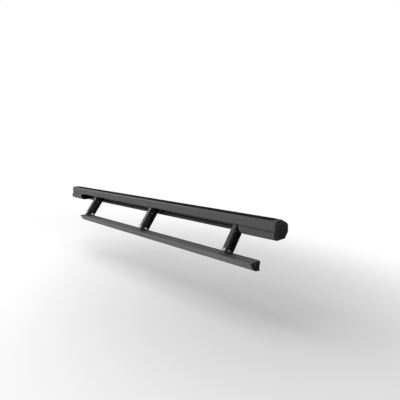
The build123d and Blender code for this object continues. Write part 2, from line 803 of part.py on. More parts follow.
bar_metal_front = bar_front + bar_plug
bar_metal_length = bar_rear - bar_front - 2 * bar_plug
notch_half_length = barrel_radius + side_play
notch_outer = bar_web_face + notch_lead
with BuildPart() as step_extrusion:
    with BuildSketch(bar_section(bar_metal_front)) as bar_profile:
        with BuildLine():
            Polyline(*bar_outline, close=True)
        make_face()
        for corner in (bar_outline[0], keel_outer_point, keel_inner_point):
            nearest = bar_profile.vertices().sort_by_distance((corner[0], corner[1], 0))[0]
            fillet(nearest, radius=bar_tip_radius)
        add(bar_chamber.sketch, mode=Mode.SUBTRACT)
        with Locations((bar_inboard - edge_strip, -bar_top_drop)):
            Rectangle(edge_strip + 1, 4, align=(Align.MIN, Align.CENTER), mode=Mode.SUBTRACT)
        first_groove = bar_inboard - edge_strip - (grip_groove_count + 0.5) * grip_groove_pitch
        for groove in range(grip_groove_count):
            with Locations((first_groove + groove * grip_groove_pitch, -bar_top_drop)):
                Rectangle(grip_groove_width, 2 * grip_groove_depth, mode=Mode.SUBTRACT)
    extrude(amount=bar_metal_length)
    for pivot_x in arm_stations.values():
        with BuildSketch(bar_section(pivot_x - notch_half_length)):
            with Locations((-notch_outer, -bar_top_drop - bar_plate - side_play)):
                Rectangle(notch_outer + bar_inboard + 1, 2 * bar_plate, align=(Align.MIN, Align.MIN))
        extrude(amount=2 * notch_half_length, mode=Mode.SUBTRACT)
    with BuildSketch(Plane.XY.offset(lower_pivot[1] - bar_top_drop)):
        for pivot_x in arm_stations.values():
            with Locations((pivot_x, lower_pivot[0] - lug_bolt_outer)):
                with GridLocations(2 * lug_bolt_along, 0, 2, 1):
                    Circle(small_hole_radius)
    extrude(amount=-(bar_wall + 2), mode=Mode.SUBTRACT)
save(step_extrusion, "step_extrusion")

# Rubber strip along the inboard top edge, in lengths between the lugs
with BuildPart() as step_edge_strip:
    gaps = sorted(arm_stations.values())
    starts = [bar_metal_front + side_play] + [gap + notch_half_length for gap in gaps]
    ends = [gap - notch_half_length for gap in gaps] + [bar_metal_front + bar_metal_length - side_play]
    for start, end in zip(starts, ends):
        with BuildSketch(bar_section(start)):
            with Locations((bar_inboard - edge_strip + 0.1, -bar_top_drop - 2)):
                Rectangle(edge_strip - 0.1, 2 + edge_strip_proud, align=(Align.MIN, Align.MIN))
        extrude(amount=end - start)
save(step_edge_strip, "step_edge_strip")

# Moulded end plugs: they close the whole section, with pockets between upright ribs
plug_outline = [
    (-bar_outboard, -bar_top_drop),
    (bar_inboard, -bar_top_drop),
    (bar_inboard - 1, -bar_top_drop - 9),
    (bar_foot - 6, bar_bottom + 10),
    (bar_foot, bar_bottom + 6),
    (bar_foot, bar_bottom),
    keel_inner_point,
    keel_outer_point,
]
for end, sign, face_x in (("front", -1, bar_metal_front), ("rear", 1, bar_metal_front + bar_metal_length)):
    with BuildPart() as step_plug:
        with BuildSketch(bar_section(face_x)) as plug_profile:
            with BuildLine():
                Polyline(*plug_outline, close=True)
            make_face()
            fillet(plug_profile.vertices(), radius=plug_corner_radius)
        extrude(amount=sign * bar_plug)
        with BuildSketch(bar_section(face_x + sign * bar_plug)) as pockets:
            with BuildLine():
                Polyline(*plug_outline, close=True)
            make_face()
            offset(amount=-plug_wall, kind=Kind.INTERSECTION, mode=Mode.REPLACE)
            for rib in plug_rib_places:
                with Locations((rib, bar_bottom / 2)):
                    Rectangle(plug_rib_width, 2 * bar_height, mode=Mode.SUBTRACT)
            for point in plug_screw_points:
                with Locations(point):
                    Circle(plug_screw_head_radius + 1, mode=Mode.SUBTRACT)
        extrude(amount=-sign * plug_pocket_depth, mode=Mode.SUBTRACT)
        with BuildSketch(bar_section(face_x)):
            with Locations(*plug_screw_points):
                Circle(plug_screw_radius)
        extrude(amount=sign * (bar_plug + 1), mode=Mode.SUBTRACT)
    save(step_plug, f"step_{end}_plug")

with BuildPart() as step_plug_screws:
    for sign, face_x in ((-1, bar_front), (1, bar_rear)):
        with BuildSketch(bar_section(face_x)):
            with Locations(*plug_screw_points):
                Circle(plug_screw_radius - seat_clearance)
        extrude(amount=-sign * plug_screw_length)
        with BuildSketch(bar_section(face_x)):
            with Locations(*plug_screw_points):
                Circle(plug_screw_head_radius)
        extrude(amount=sign * plug_screw_head_height)
save(step_plug_screws, "step_plug_screws")

# Cast lugs: a barrel on the lower swing axis, a foot on the top face and a tail in the channel
lug_shoulder = arm_half_depth + lug_gap
lug_side = [
    across_and_down(-barrel_half_length, 0),
    across_and_down(-barrel_half_length, lug_shoulder),
    (-lug_foot_outer, -bar_top_drop),
    (-bar_web_face, -bar_top_drop),
    (-bar_web_face, -bar_top_drop - bar_plate - lug_tail_depth),
    (lug_tail_width - bar_web_face, -bar_top_drop - bar_plate - lug_tail_depth),
    across_and_down(barrel_half_length, lug_shoulder),
    across_and_down(barrel_half_length, 0),
]
for station, pivot_x in arm_stations.items():
    with BuildPart() as lug:
        with BuildSketch(bar_section(pivot_x - barrel_radius)):
            with BuildLine():
                Polyline(*lug_side, close=True)
            make_face()
        extrude(amount=2 * barrel_radius)
        with BuildSketch(swing_plane(pivot_x, lower_pivot, -barrel_half_length)):
            Circle(barrel_radius)
        extrude(amount=2 * barrel_half_length)
        with BuildSketch(bar_section(pivot_x - lug_foot_half_length)):
            with Locations((-lug_foot_outer, -bar_top_drop)):
                Rectangle(
                    lug_foot_outer - notch_outer,
                    lug_foot_thickness,
                    align=(Align.MIN, Align.MIN),
                )
        extrude(amount=2 * lug_foot_half_length)
        with BuildSketch(swing_plane(pivot_x, lower_pivot, -barrel_half_length - 1)):
            Circle(bush_radius)
        extrude(amount=2 * barrel_half_length + 2, mode=Mode.SUBTRACT)
        with BuildSketch(Plane.XY.offset(lower_pivot[1])):
            with Locations((pivot_x, lower_pivot[0] - lug_bolt_outer)):
                with GridLocations(2 * lug_bolt_along, 0, 2, 1):
                    Circle(small_hole_radius)
        extrude(amount=-bar_top_drop - 1, mode=Mode.SUBTRACT)
    save(lug, f"{station}_lug")

    with BuildPart() as lower_bushes:
        for side in (-1, 1):
            with BuildSketch(swing_plane(pivot_x, lower_pivot, side * barrel_half_length)):
                Circle(bush_radius - seat_clearance)
                Circle(pin_radius + running_clearance, mode=Mode.SUBTRACT)
            extrude(amount=-side * bush_length)
            with BuildSketch(swing_plane(pivot_x, lower_pivot, side * barrel_half_length)):
                Circle(lug_bush_flange_radius)
                Circle(pin_radius + running_clearance, mode=Mode.SUBTRACT)
            extrude(amount=side * bush_flange)
    save(lower_bushes, f"{station}_lower_bushes")

with BuildPart() as lug_bolts:
    foot_top = lower_pivot[1] - bar_top_drop + lug_foot_thickness
    for pivot_x in arm_stations.values():
        with BuildSketch(Plane.XY.offset(foot_top)):
            with Locations((pivot_x, lower_pivot[0] - lug_bolt_outer)):
                with GridLocations(2 * lug_bolt_along, 0, 2, 1):
                    RegularPolygon(small_head_radius, 6)
        extrude(amount=small_head_height)
        with BuildSketch(Plane.XY.offset(foot_top)):
            with Locations((pivot_x, lower_pivot[0] - lug_bolt_outer)):
                with GridLocations(2 * lug_bolt_along, 0, 2, 1):
                    Circle(small_bolt_radius)
        extrude(amount=-(lug_foot_thickness + bar_wall + 4))
save(lug_bolts, "lug_bolts")
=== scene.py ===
"""Power running board: finishes, small fittings and studio stage around the fixed CAD frame."""

import json
import math

import bpy
from bpy.props import FloatProperty, FloatVectorProperty, IntProperty, PointerProperty
from mathutils import Matrix, Vector

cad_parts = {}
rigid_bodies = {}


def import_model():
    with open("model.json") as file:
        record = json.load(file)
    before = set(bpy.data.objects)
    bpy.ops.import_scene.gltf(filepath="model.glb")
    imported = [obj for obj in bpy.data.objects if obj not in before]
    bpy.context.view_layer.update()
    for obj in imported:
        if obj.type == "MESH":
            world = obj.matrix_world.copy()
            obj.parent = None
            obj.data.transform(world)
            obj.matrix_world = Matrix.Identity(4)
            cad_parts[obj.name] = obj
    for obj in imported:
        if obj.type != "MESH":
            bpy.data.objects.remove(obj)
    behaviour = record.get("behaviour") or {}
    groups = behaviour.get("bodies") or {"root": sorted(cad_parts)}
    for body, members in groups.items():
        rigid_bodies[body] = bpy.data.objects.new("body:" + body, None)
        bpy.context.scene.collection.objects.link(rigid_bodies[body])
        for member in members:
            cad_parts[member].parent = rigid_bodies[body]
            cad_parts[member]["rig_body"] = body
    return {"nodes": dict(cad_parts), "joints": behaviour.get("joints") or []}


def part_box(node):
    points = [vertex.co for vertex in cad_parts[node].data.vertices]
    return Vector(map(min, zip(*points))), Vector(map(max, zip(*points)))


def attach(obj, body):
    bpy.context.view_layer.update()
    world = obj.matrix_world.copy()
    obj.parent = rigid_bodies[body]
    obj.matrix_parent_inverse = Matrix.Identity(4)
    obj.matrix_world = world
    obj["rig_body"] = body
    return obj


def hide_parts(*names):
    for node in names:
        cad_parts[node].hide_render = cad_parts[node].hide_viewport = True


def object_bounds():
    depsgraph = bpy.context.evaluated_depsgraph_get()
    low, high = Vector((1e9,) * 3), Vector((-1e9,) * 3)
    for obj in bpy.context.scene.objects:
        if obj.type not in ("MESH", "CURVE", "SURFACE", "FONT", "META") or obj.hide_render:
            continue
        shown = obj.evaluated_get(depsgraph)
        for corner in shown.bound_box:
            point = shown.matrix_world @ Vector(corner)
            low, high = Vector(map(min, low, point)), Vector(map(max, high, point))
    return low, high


bl_info = {
    "name": "Power Running Board Dresser",
    "version": (1, 0, 0),
    "blender": (4, 5, 0),
    "location": "View3D > Sidebar > Running Board",
    "description": "Dresses a power running board with its finishes, fittings and a studio stage",
    "category": "Object",
}

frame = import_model()
cad_low, cad_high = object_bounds()

MM = 0.001
STATIONS = ("front", "middle", "rear")

# The axis that the arms swing about, and the directions up, to the rear and inboard
SWING_AXIS = Vector(frame["joints"][0]["axis"])
UPWARD = Vector((0.0, 0.0, 1.0))
REARWARD = Vector((1.0, 0.0, 0.0))
INBOARD = Vector((0.0, 1.0, 0.0))

# Where the stowage bay lies in the board, for the painted shade on its walls, and how far the caps' rounded
# face edge reaches
BAY_WIDTH = (-111.0 * MM, -26.5 * MM)
BAY_HEIGHT = (-46.5 * MM, 30.0 * MM)
CAP_FACE_EDGE = 2.0 * MM

# How much lighter than the board's coat the caps' rims are painted, as painted light, and how much lighter
# the coat is on the tops of its pebbles
RIM_PAINTED_LIGHT = 1.6
PEBBLE_TOP = (1.15, 1.15, 1.15)
# Grains to the metre of the fine streaks, along the board and across it
STREAK_SCALE = (400.0, 2500.0, 2500.0)

# Sockets of the Mix node that take and give colours
FIRST_COLOUR, SECOND_COLOUR, MIXED_COLOUR = 6, 7, 2
WHITE = (1.0, 1.0, 1.0, 1.0)

# Steps to the metre by which the corners of one solid are matched
CORNER_STEPS = 1e5

# Edges under this angle are rounds, and are shaded smooth
ROUND_ANGLE = math.radians(32.0)
# Half the turn from one corner of a hexagon to the next
HALF_FLAT = math.radians(30.0)

# Radius of the shank, radius of the head and height of the head, in millimetres
CAP_SCREW = (2.08, 4.1, 2.2)
PLUG_SCREW = (1.98, 3.6, 2.0)
COVER_SCREW = (1.48, 2.6, 1.4)
MOTOR_SCREW = (1.98, 3.4, 2.5)
STOP_SCREW = (2.58, 4.0, 3.0)
FRAME_BOLT = (3.0, 5.0, 4.0)
# Length of a screw's chamfered tip and of the plain shank under its head, in millimetres
TIP_CHAMFER = 1.0
THREAD_RUNOUT = 0.6
# Radius of the motor's can, in millimetres
CAN_RADIUS = 19.0

# Outline of the end caps' sunk panel: millimetres inboard of its margin and down from the top,
# and how far outwards its cutting tool reaches
PANEL_MARGIN = 8.0
PANEL = (
    (8.0, 20.0), (20.0, 8.0), (52.0, 8.0), (95.0, 27.0), (95.5, 37.0), (108.5, 41.0), (108.5, 70.5),
    (104.0, 75.0), (92.0, 76.0), (90.0, 92.5), (86.0, 94.0), (23.0, 94.0), (1.0, 84.0), (0.0, 64.0),
    (8.0, 56.0),
)
PANEL_REACH = 10.0 * MM
# The slanted ribs: the first one's middle inboard and down and the step to the next, both in
# millimetres, and their turn and length
RIB_COUNT = 5
RIB_START = (68.0, 88.0)
RIB_STEP = (7.5, -4.0)
RIB_TILT = math.radians(40.0)
RIB_LENGTH = 30.0 * MM

# Side of the floor in metres, and how much its fade is drawn out along the board
FLOOR_SIZE = 60.0
FLOOR_OVAL = (0.6, 1.0, 1.0)
# Where the softboxes aim
BOARD_MIDDLE = (0.0, -0.1, 0.0)
# Sensor width in millimetres, and how far the camera sees, in metres
SENSOR_WIDTH = 36.0
FAR_SIGHT = 200.0


class BoardFinish(bpy.types.PropertyGroup):
    """Colours and grain of the coatings, plastics and rubbers"""

    # Painted shade: kept darker than the step bar's copy of the same powder coat
    coat_colour: FloatVectorProperty(
        name="Board coat",
        description="Colour of the textured powder coat on the board",
        subtype="COLOR",
        size=3,
        min=0.0,
        max=1.0,
        default=(0.043, 0.043, 0.044),
    )
    # Painted shade: a darker colour laid on the walls inside the stowage bay, where shade falls
    bay_shade_colour: FloatVectorProperty(
        name="Bay walls",
        description="Colour of the thin coat on the walls inside the stowage bay",
        subtype="COLOR",
        size=3,
        min=0.0,
        max=1.0,
        default=(0.012, 0.012, 0.012),
    )
    # Painted light and shade: the step bar wears the board's powder coat, kept lighter here than on the
    # board
    step_lit_colour: FloatVectorProperty(
        name="Step coat",
        description="Colour of the textured powder coat on the step bar",
        subtype="COLOR",
        size=3,
        min=0.0,
        max=1.0,
        default=(0.056, 0.056, 0.057),
    )
    arm_colour: FloatVectorProperty(
        name="Arm coat",
        description="Colour of the satin coat on the arms",
        subtype="COLOR",
        size=3,
        min=0.0,
        max=1.0,
        default=(0.021, 0.021, 0.022),
    )
    casting_colour: FloatVectorProperty(
        name="Castings",
        description="Colour of the cast yokes, lugs and gearbox",
        subtype="COLOR",
        size=3,
        min=0.0,
        max=1.0,
        default=(0.030, 0.030, 0.031),
    )
    plastic_colour: FloatVectorProperty(
        name="Moulded caps",
        description="Colour of the end caps and plugs",
        subtype="COLOR",
        size=3,
        min=0.0,
        max=1.0,
        default=(0.021, 0.021, 0.0214),
    )
    rubber_colour: FloatVectorProperty(
        name="Rubber",
        description="Colour of the tread, the edge strip and the gland",
        subtype="COLOR",
        size=3,
        min=0.0,
        max=1.0,
        default=(0.008, 0.008, 0.0085),
    )
    coat_grain: FloatProperty(
        name="Coat grain",
        description="Width of one grain of the textured powder coat",
        unit="LENGTH",
        min=0.0002,
        max=0.01,
        default=0.0016,
    )


class BoardFittings(bpy.types.PropertyGroup):
    """Small shapes of the screws, bolts, pins and end caps"""

    thread_pitch: FloatProperty(
        name="Thread pitch",
        description="Distance from one thread ridge to the next on the screws",
        unit="LENGTH",
        min=0.0005,
        max=0.003,
        default=0.00125,
    )
    thread_depth: FloatProperty(
        name="Thread depth",
        description="Depth of the thread below the outside of the shank",
        unit="LENGTH",
        min=0.0001,
        max=0.001,
        default=0.0004,
    )
    turned_sides: IntProperty(
        name="Turned sides",
        description="Number of flats that stand for a round on the screws and pins",
        min=12,
        max=64,
        default=32,
    )
    socket_share: FloatProperty(
        name="Socket share",
        description="Size of a socket across its corners as a share of the head's radius",
        subtype="FACTOR",
        min=0.2,
        max=0.7,
        default=0.5,
    )
    panel_depth: FloatProperty(
        name="Cap panel depth",
        description="How far the panel of an end cap lies below its rim",
        unit="LENGTH",
        min=0.0003,
        max=0.003,
        default=0.0014,
    )
    rib_width: FloatProperty(
        name="Cap rib width",
        description="Width of the slanted ribs in the lower corner of an end cap",
        unit="LENGTH",
        min=0.0005,
        max=0.004,
        default=0.002,
    )


class BoardStage(bpy.types.PropertyGroup):
    """Camera, floor and world light"""

    camera_place: FloatVectorProperty(
        name="Camera place",
        description="Where the camera stands, in the part's frame",
        subtype="TRANSLATION",
        size=3,
        default=(1.933, -1.489, 0.389),
    )
    camera_pan: FloatProperty(
        name="Camera pan",
        description="Heading of the camera, from +Y towards -X",
        subtype="ANGLE",
        default=math.radians(45.025),
    )
    camera_tilt: FloatProperty(
        name="Camera tilt",
        description="How far the camera looks down from the horizon",
        subtype="ANGLE",
        default=math.radians(8.41),
    )
    lens: FloatProperty(
        name="Lens",
        description="Focal length in millimetres on a 36 mm sensor",
        min=10.0,
        max=200.0,
        default=31.05,
    )
    floor_level: FloatProperty(
        name="Floor level",
        description="Height of the ground, below the board's own level",
        unit="LENGTH",
        default=-0.463,
    )
    floor_colour: FloatVectorProperty(
        name="Floor",
        description="Colour of the plain pale floor",
        subtype="COLOR",
        size=3,
        min=0.0,
        max=1.0,
        default=(0.78, 0.78, 0.78),
    )
    floor_start: FloatProperty(
        name="Floor fade start",
        description="Distance from the board at which the floor starts to fade",
        unit="LENGTH",
        min=0.0,
        max=20.0,
        default=0.5,
    )
    floor_fade: FloatProperty(
        name="Floor fade",
        description="Distance from the board at which the floor has faded to the white background",
        unit="LENGTH",
        min=1.0,
        max=20.0,
        default=1.7,
    )
    world_strength: FloatProperty(
        name="World light",
        description="Strength of the even light from all round",
        min=0.0,
        max=5.0,
        default=0.42,
    )


# Shader building


def new_material(name):
    """A node material for one finish, its principled shader already linked to its output."""
    material = bpy.data.materials.new(f"{name}_finish")
    material.use_nodes = True
    nodes = material.node_tree.nodes
    nodes.clear()
    output = nodes.new("ShaderNodeOutputMaterial")
    shader = nodes.new("ShaderNodeBsdfPrincipled")
    material.node_tree.links.new(shader.outputs["BSDF"], output.inputs["Surface"])
    return material, shader


def add_node(owner, kind, inputs=None, **settings):
    """One node of a material or a world; an input may be a value or another node's output."""
    tree = owner.node_tree
    node = tree.nodes.new(kind)
    for key, value in settings.items():
        setattr(node, key, value)
    for key, value in (inputs or {}).items():
        if isinstance(value, bpy.types.NodeSocket):
            tree.links.new(value, node.inputs[key])
        else:
            node.inputs[key].default_value = value
    return node


def object_coordinates(material):
    """The piece's own place as texture coordinates, in metres."""
    return add_node(material, "ShaderNodeTexCoord").outputs["Object"]


def noise(material, place, scale, detail):
    """Cloudy noise with so many grains to the metre."""
    inputs = {"Vector": place, "Scale": scale, "Detail": detail}
    return add_node(material, "ShaderNodeTexNoise", inputs).outputs["Fac"]


def mixed(material, factor, first, second, blend="MIX"):
    """Two colours mixed by a factor; the first may be another node's output."""
    inputs = {"Factor": factor, FIRST_COLOUR: first, SECOND_COLOUR: (*second, 1.0)}
    node = add_node(material, "ShaderNodeMix", inputs, data_type="RGBA", blend_type=blend)
    return node.outputs[MIXED_COLOUR]


def scaled(colour, share):
    """A colour made lighter or darker."""
    return tuple(min(1.0, channel * share) for channel in colour)


def shaded(material, factor, colour, low, high):
    """One colour that drifts between a darker and a lighter shade of itself."""
    return mixed(material, factor, (*scaled(colour, low), 1.0), scaled(colour, high))


def vary_roughness(material, shader, pattern, low, high):
    """Let the roughness follow a pattern between two values."""
    inputs = {"Value": pattern, "To Min": low, "To Max": high}
    rough = add_node(material, "ShaderNodeMapRange", inputs)
    material.node_tree.links.new(rough.outputs["Result"], shader.inputs["Roughness"])


def add_relief(material, shader, height, strength, depth):
    """Raise the surface by a pattern of a given depth in metres."""
    inputs = {"Height": height, "Strength": strength, "Distance": depth}
    bump = add_node(material, "ShaderNodeBump", inputs)
    material.node_tree.links.new(bump.outputs["Normal"], shader.inputs["Normal"])


def within(material, value, low, high):
    """1 where a value lies between two bounds, else 0."""
    inputs = {0: value, 1: (low + high) / 2, 2: (high - low) / 2}
    return add_node(material, "ShaderNodeMath", inputs, operation="COMPARE").outputs["Value"]


def recoloured(material, place, colour):
    """Give a material another colour where a value is 1."""
    tree = material.node_tree
    shader = next(node for node in tree.nodes if node.type == "BSDF_PRINCIPLED")
    base = shader.inputs["Base Color"]
    tree.links.new(mixed(material, place, base.links[0].from_socket, colour), base)


# Coatings, plastics and metals


def powder_coat(name, colour, grain, roughness, relief, gloss=0.35):
    """Textured powder coat: fine pebbled grain over a slow drift of shade."""
    material, shader = new_material(name)
    shader.inputs["Specular IOR Level"].default_value = gloss
    place = object_coordinates(material)
    drift = noise(material, place, scale=6.0, detail=3.0)
    pebbles = noise(material, place, scale=1.0 / grain, detail=2.0)
    tint = shaded(material, drift, colour, 0.9, 1.1)
    inputs = {"Value": pebbles, "From Min": 0.35, "From Max": 0.7}
    speck = add_node(material, "ShaderNodeMapRange", inputs).outputs["Result"]
    flecked = mixed(material, speck, tint, PEBBLE_TOP, blend="MULTIPLY")
    material.node_tree.links.new(flecked, shader.inputs["Base Color"])
    vary_roughness(material, shader, pebbles, roughness - 0.07, roughness + 0.07)
    add_relief(material, shader, pebbles, relief, depth=0.0003)
    return material


def moulded(name, colour, grain, roughness, relief, gloss=0.08):
    """Moulded plastic or rubber: fine even leather grain and faint cloudy shade."""
    material, shader = new_material(name)
    shader.inputs["Specular IOR Level"].default_value = gloss
    place = object_coordinates(material)
    cells = add_node(material, "ShaderNodeTexVoronoi", {"Vector": place, "Scale": 1.0 / grain})
    clouds = noise(material, place, scale=25.0, detail=4.0)
    tint = shaded(material, clouds, colour, 0.75, 1.3)
    material.node_tree.links.new(tint, shader.inputs["Base Color"])
    vary_roughness(material, shader, clouds, roughness - 0.08, roughness + 0.08)
    add_relief(material, shader, cells.outputs["Distance"], relief, depth=0.0002)
    return material


def plated(name, colour, roughness, streak=0.2):
    """Plated or machined metal with fine streaks and a slight mottle."""
    material, shader = new_material(name)
    shader.inputs["Metallic"].default_value = 1.0
    place = object_coordinates(material)
    stretch = add_node(material, "ShaderNodeMapping", {"Vector": place, "Scale": STREAK_SCALE})
    streaks = noise(material, stretch.outputs["Vector"], scale=1.0, detail=3.0)
    mottle = noise(material, place, scale=180.0, detail=3.0)
    tint = shaded(material, mottle, colour, 0.82, 1.12)
    material.node_tree.links.new(tint, shader.inputs["Base Color"])
    vary_roughness(material, shader, streaks, roughness - 0.08, roughness + 0.1)
    add_relief(material, shader, streaks, streak, depth=0.0001)


def board_powder(name, finish):
    """The board's powder coat, with painted shade on the walls inside the stowage bay."""
    material = powder_coat(
        name, finish.coat_colour, finish.coat_grain, roughness=0.5, relief=0.5, gloss=0.2
    )
    # Painted shade: the walls inside the stowage bay get the darker bay colour
    apart = add_node(material, "ShaderNodeSeparateXYZ", {"Vector": object_coordinates(material)})
    across = within(material, apart.outputs["Y"], *BAY_WIDTH)
    upright = within(material, apart.outputs["Z"], *BAY_HEIGHT)
    inside = add_node(material, "ShaderNodeMath", {0: across, 1: upright}, operation="MULTIPLY")
    recoloured(material, inside.outputs["Value"], finish.bay_shade_colour)


def cap_moulding(name, finish):
    """The end caps' plastic on the face, with painted light on the rim: a lighter copy of the board's coat.
    """
    material = moulded(
        name, finish.plastic_colour, grain=0.0009, roughness=0.5, relief=0.35, gloss=0.05
    )
    apart = add_node(material, "ShaderNodeSeparateXYZ", {"Vector": object_coordinates(material)})
    # Painted light: the rim, short of the face's rounded edge, gets a lighter copy of the board's coat
    face = cad_high[0] - CAP_FACE_EDGE
    rim = within(material, apart.outputs["X"], -face, face)
    recoloured(material, rim, scaled(finish.coat_colour, RIM_PAINTED_LIGHT))


def make_finishes(finish):
    """Make every finish of the running board under its workshop name."""
    dark_enamel = scaled(finish.plastic_colour, 0.5)
    dark_plastic = scaled(finish.plastic_colour, 0.7)
    fine_grain = finish.coat_grain * 0.6
    board_powder("board_coat", finish)
    cap_moulding("cap_plastic", finish)
    # Painted light and shade: the step bar's coat is a lighter copy of the board's
    powder_coat("step_coat", finish.step_lit_colour, finish.coat_grain, roughness=0.5, relief=0.5)
    powder_coat("arm_coat", finish.arm_colour, fine_grain, roughness=0.4, relief=0.25, gloss=0.18)
    powder_coat("casting", finish.casting_colour, grain=0.0022, roughness=0.55, relief=0.6)
    powder_coat("motor_enamel", dark_enamel, grain=0.004, roughness=0.3, relief=0.1)
    moulded("plug_plastic", dark_plastic, grain=0.0009, roughness=0.55, relief=0.35)
    rubber = finish.rubber_colour
    moulded("tread_rubber", rubber, grain=0.0013, roughness=0.85, relief=0.5, gloss=0.04)
    moulded("strip_rubber", rubber, grain=0.0008, roughness=0.75, relief=0.3, gloss=0.12)
    plated("bright_zinc", (0.36, 0.37, 0.38), roughness=0.4)
    plated("dull_zinc", (0.40, 0.40, 0.41), roughness=0.42)
    plated("grey_zinc", (0.24, 0.24, 0.245), roughness=0.48)
    plated("black_zinc", (0.10, 0.10, 0.105), roughness=0.38)
    plated("oiled_bronze", (0.42, 0.29, 0.14), roughness=0.35, streak=0.15)


def coat(piece, finish):
    """Give a piece one finish all over."""
    piece.data.materials.clear()
    piece.data.materials.append(bpy.data.materials[f"{finish}_finish"])


# Which finish each CAD node wears
FINISH_OF_NODE = {
    "board_extrusion": "board_coat",
    "step_extrusion": "step_coat",
    "board_tread": "tread_rubber",
    "step_edge_strip": "strip_rubber",
    "lead_gland": "strip_rubber",
    "front_end_cap": "cap_plastic",
    "rear_end_cap": "cap_plastic",
    "step_front_plug": "plug_plastic",
    "step_rear_plug": "plug_plastic",
    "gearbox_housing": "casting",
    "gearbox_cover": "casting",
    "drive_motor": "motor_enamel",
    "output_shaft": "bright_zinc",
}
for station in STATIONS:
    FINISH_OF_NODE[f"{station}_arm"] = "arm_coat"
    FINISH_OF_NODE[f"{station}_lug"] = "casting"
for node_name in frame["nodes"]:
    if "bush" in node_name:
        FINISH_OF_NODE[node_name] = "oiled_bronze"
    elif "bracket" in node_name and "bolts" not in node_name:
        FINISH_OF_NODE[node_name] = "casting"
    elif "upper_pin" in node_name:
        FINISH_OF_NODE[node_name] = "bright_zinc"
    else:
        FINISH_OF_NODE.setdefault(node_name, "black_zinc")


class RUNNINGBOARD_OT_finishes(bpy.types.Operator):
    """Give every CAD piece of the running board its finish"""

    bl_idname = "running_board.finishes"
    bl_label = "Finishes"

    def execute(self, context):
        make_finishes(context.scene.board_finish)
        for name, piece in frame["nodes"].items():
            coat(piece, FINISH_OF_NODE[name])
        return {"FINISHED"}


# Places read from the frame


def solids_of(node):
    """The corner points of each separate solid in a CAD node, from front to rear."""
    mesh = frame["nodes"][node].data
    keys = [tuple(round(value * CORNER_STEPS) for value in vertex.co) for vertex in mesh.vertices]
    leader = {key: key for key in keys}

    def head_of(key):
        while leader[key] != key:
            key = leader[key]
        return key

    for face in mesh.polygons:
        first = head_of(keys[face.vertices[0]])
        for corner in face.vertices[1:]:
            leader[head_of(keys[corner])] = first
    solids = {}
    for key in leader:
        solids.setdefault(head_of(key), []).append(Vector(key) / CORNER_STEPS)
    return sorted(solids.values(), key=lambda points: min(tuple(point) for point in points))


def facing(outward):
    """A turn that stands a fitting's own +Z along a direction."""
    side = Vector((0.0, 1.0, 0.0)) if abs(outward.x) > 0.9 else Vector((1.0, 0.0, 0.0))
    return Matrix((side, outward.cross(side), outward)).transposed()


def seat_of(points, outward):
    """The middle of a solid's outer end and the solid's length, looking against a direction."""
    turn = facing(outward)
    local = [turn.transposed() @ point for point in points]
    low = [min(point[axis] for point in local) for axis in range(3)]
    high = [max(point[axis] for point in local) for axis in range(3)]
    middle = Vector(((low[0] + high[0]) / 2, (low[1] + high[1]) / 2, high[2]))
    return turn @ middle, high[2] - low[2]


def seats_for(node, outward_of, clocking=0.0):
    """The seat of every solid in a node, as place, direction and clocking, and the first one's length."""
    seats, lengths = [], []
    for number, points in enumerate(solids_of(node)):
        outward = outward_of(sum(points, Vector()) / len(points))
        place, length = seat_of(points, outward)
        seats.append((place, outward, clocking * (2 * number + 1)))
        lengths.append(length / MM)
    return seats, lengths[0]


# Workshop steps, each done with the mesh tools


def deselect():
    """Leave nothing selected."""
    bpy.ops.object.select_all(action="DESELECT")


def select_only(piece):
    """Select one piece alone and make it the active one."""
    deselect()
    piece.select_set(True)
    bpy.context.view_layer.objects.active = piece


def apply_place():
    """Put the selected piece's place, turn and size into its mesh."""
    bpy.ops.object.transform_apply(location=True, rotation=True, scale=True)


def face_outwards():
    """Turn every face of the piece in edit mode outwards, and leave edit mode."""
    bpy.ops.mesh.select_all(action="SELECT")
    bpy.ops.mesh.normals_make_consistent(inside=False)
    bpy.ops.object.mode_set(mode="OBJECT")


def turned(name, rings, sides):
    """A turned solid: a disc drawn up ring by ring, each given as height and radius in millimetres."""
    deselect()
    height, radius = rings[0]
    bpy.ops.mesh.primitive_circle_add(
        vertices=sides, radius=radius * MM, fill_type="NGON", location=(0.0, 0.0, height * MM)
    )
    piece = bpy.context.object
    piece.name = name
    bpy.ops.object.mode_set(mode="EDIT")
    bpy.ops.mesh.select_all(action="SELECT")
    for next_height, next_radius in rings[1:]:
        rise = (0.0, 0.0, (next_height - height) * MM)
        bpy.ops.mesh.extrude_region_move(TRANSFORM_OT_translate={"value": rise})
        share = next_radius / radius
        middle = (0.0, 0.0, next_height * MM)
        bpy.ops.transform.resize(value=(share, share, 1.0), center_override=middle)
        height, radius = next_height, next_radius
    face_outwards()
    apply_place()
    return piece


def combine(piece, tool, operation):
    """Join a second solid to a piece, cut it away or keep what both share; the second is used up."""
    select_only(piece)
    step = piece.modifiers.new("shape", "BOOLEAN")
    step.object = tool
    step.operation = operation
    step.solver = "EXACT"
    bpy.ops.object.modifier_apply(modifier=step.name)
    bpy.data.objects.remove(tool, do_unlink=True)
    return piece


def finish_piece(piece, finish, node):
    """Smooth the rounds, coat the piece and let it stand for its CAD node."""
    select_only(piece)
    bpy.ops.object.shade_smooth_by_angle(angle=ROUND_ANGLE)
    coat(piece, finish)
    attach(piece, frame["nodes"][node]["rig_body"])
    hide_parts(node)


